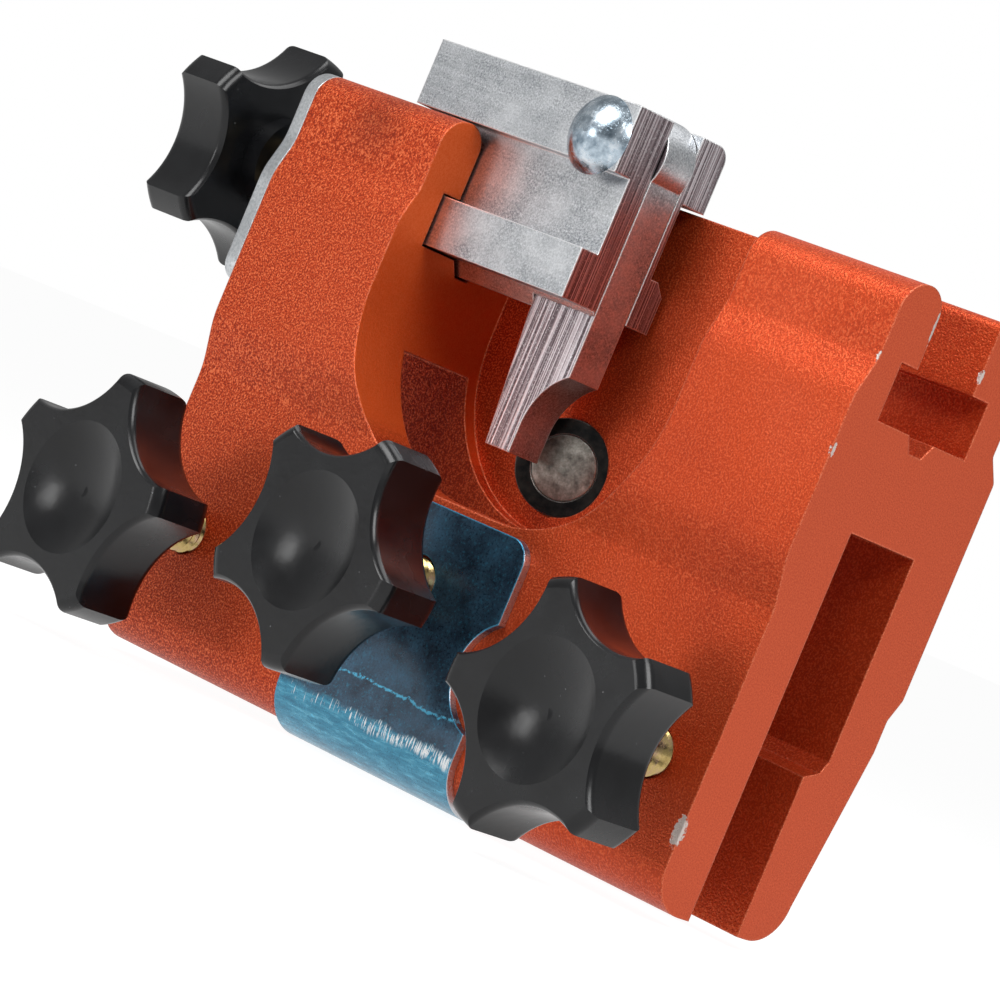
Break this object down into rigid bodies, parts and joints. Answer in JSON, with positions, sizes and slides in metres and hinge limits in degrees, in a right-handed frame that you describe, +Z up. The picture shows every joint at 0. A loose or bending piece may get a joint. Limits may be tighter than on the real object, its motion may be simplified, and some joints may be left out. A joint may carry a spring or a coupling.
{
  "type": "chainsaw sharpening jig",
  "caption": "Clamp-on jig for a saw's guide bar, with star-knob clamp screws, a screw-fed stop with a swinging arm, and an angled bush that guides a round cutter.",
  "frame": {"origin": "middle of the bar slot's mouth, halfway along the body and level with the feet", "axes": "+X along the bar slot away from the feed knob, +Y from the clamp knobs to the back, +Z up from the feet to the track"},
  "size_m": [0.1283, 0.0807, 0.0843],
  "materials": {
    "anodised_body": "bead-blasted orange-red anodised",
    "plate_steel": "plain satin",
    "screw_zinc": "bright zinc plated",
    "clip_blue": "blue lacquer, worn at the bend",
    "bush_black": "black oxide",
    "shaft_steel": "dull ground steel",
    "washer_nylon": "natural nylon",
    "stop_aluminium": "raw satin, saw marks on the cut ends",
    "rivet_zinc": "bright zinc, slightly scratched",
    "screw_yellow": "yellow zinc plated",
    "knob_black": "glossy moulded"
  },
  "bodies": {
    "frame": {"body": "anodised_body", "end_plate": "plate_steel", "end_screw_front": "screw_zinc", "end_screw_rear": "screw_zinc", "clamp_clip": "clip_blue", "shaft_bush": "bush_black"},
    "stop": {"slide_block": "stop_aluminium", "pawl_rivet": "rivet_zinc"},
    "stop_arm": {"pawl": "stop_aluminium"},
    "feed": {"feed_screw": "screw_yellow", "feed_knob": "knob_black", "feed_collar": "screw_zinc", "feed_ring": "bush_black"},
    "cutter_carrier": {"shaft_washer": "washer_nylon"},
    "cutter": {"drive_shaft": "shaft_steel", "shaft_collar": "bush_black"},
    "clamp_left_screw": {"clamp_screw_left": "screw_yellow"},
    "clamp_left_knob": {"clamp_knob_left": "knob_black"},
    "clamp_middle_screw": {"clamp_screw_middle": "screw_yellow"},
    "clamp_middle_knob": {"clamp_knob_middle": "knob_black"},
    "clamp_right_screw": {"clamp_screw_right": "screw_yellow"},
    "clamp_right_knob": {"clamp_knob_right": "knob_black"}
  },
  "joints": [
    {"name": "feed_turn", "type": "hinge", "parent": "frame", "child": "feed", "pos_m": [-0.05, 0.00063, 0.0618], "axis": [1, 0, 0], "range_deg": [-3590, 3230]},
    {"name": "stop_feed", "type": "slide", "parent": "frame", "child": "stop", "axis": [1, 0, 0], "range_m": [-0.009, 0.01]},
    {"name": "arm_swing", "type": "hinge", "parent": "stop", "child": "stop_arm", "pos_m": [-0.0064, 0.00178, 0.0779], "axis": [0, 1, 0], "range_deg": [-30, 0]},
    {"name": "cutter_stroke", "type": "slide", "parent": "frame", "child": "cutter_carrier", "axis": [0.5, -0.866, 0], "range_m": [-0.006, 0.0012]},
    {"name": "cutter_spin", "type": "hinge", "parent": "cutter_carrier", "child": "cutter", "pos_m": [-0.0064, 0.00923, 0.0404], "axis": [0.5, -0.866, 0], "continuous": true},
    {"name": "clamp_left_feed", "type": "slide", "parent": "frame", "child": "clamp_left_screw", "axis": [0, 1, 0], "range_m": [-0.003, 0.008]},
    {"name": "clamp_left_turn", "type": "hinge", "parent": "clamp_left_screw", "child": "clamp_left_knob", "pos_m": [-0.0411, -0.01277, 0.0159], "axis": [0, 1, 0], "range_deg": [-1075, 2875]},
    {"name": "clamp_middle_feed", "type": "slide", "parent": "frame", "child": "clamp_middle_screw", "axis": [0, 1, 0], "range_m": [-0.003, 0.0068]},
    {"name": "clamp_middle_turn", "type": "hinge", "parent": "clamp_middle_screw", "child": "clamp_middle_knob", "pos_m": [-0.0011, -0.01277, 0.0217], "axis": [0, 1, 0], "range_deg": [-1075, 2443]},
    {"name": "clamp_right_feed", "type": "slide", "parent": "frame", "child": "clamp_right_screw", "axis": [0, 1, 0], "range_m": [-0.003, 0.008]},
    {"name": "clamp_right_turn", "type": "hinge", "parent": "clamp_right_screw", "child": "clamp_right_knob", "pos_m": [0.0416, -0.01277, 0.0156], "axis": [0, 1, 0], "range_deg": [-1075, 2875]}
  ],
  "couplings": [
    {"joint": "stop_feed", "follows": "feed_turn", "m_per_rad": -0.00015915},
    {"joint": "clamp_left_feed", "follows": "clamp_left_turn", "m_per_rad": 0.00015915},
    {"joint": "clamp_middle_feed", "follows": "clamp_middle_turn", "m_per_rad": 0.00015915},
    {"joint": "clamp_right_feed", "follows": "clamp_right_turn", "m_per_rad": 0.00015915}
  ]
}
